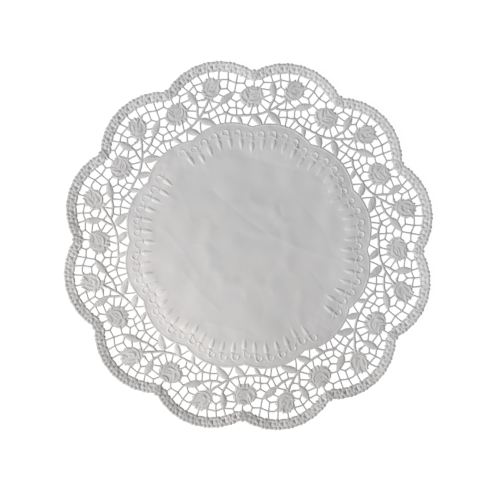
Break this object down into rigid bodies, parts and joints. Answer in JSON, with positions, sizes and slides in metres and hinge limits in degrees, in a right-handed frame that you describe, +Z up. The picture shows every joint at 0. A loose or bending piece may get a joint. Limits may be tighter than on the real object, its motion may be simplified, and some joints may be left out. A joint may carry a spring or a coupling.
{
  "type": "lace doily",
  "caption": "Round doily of die-cut, embossed paper lace with a scalloped rim and a plain middle, laid flat under a cake or plate.",
  "frame": {"origin": "middle of the underside, where the doily rests on the table", "axes": "+Z up, out of the embossed face; +Y from the middle through a notch between two lobes; +X to the right, seen from above"},
  "size_m": [0.2932, 0.2932, 0.001],
  "materials": {
    "paper": "matt, finely embossed"
  },
  "bodies": {
    "root": {"doily": "paper"}
  },
  "joints": []
}
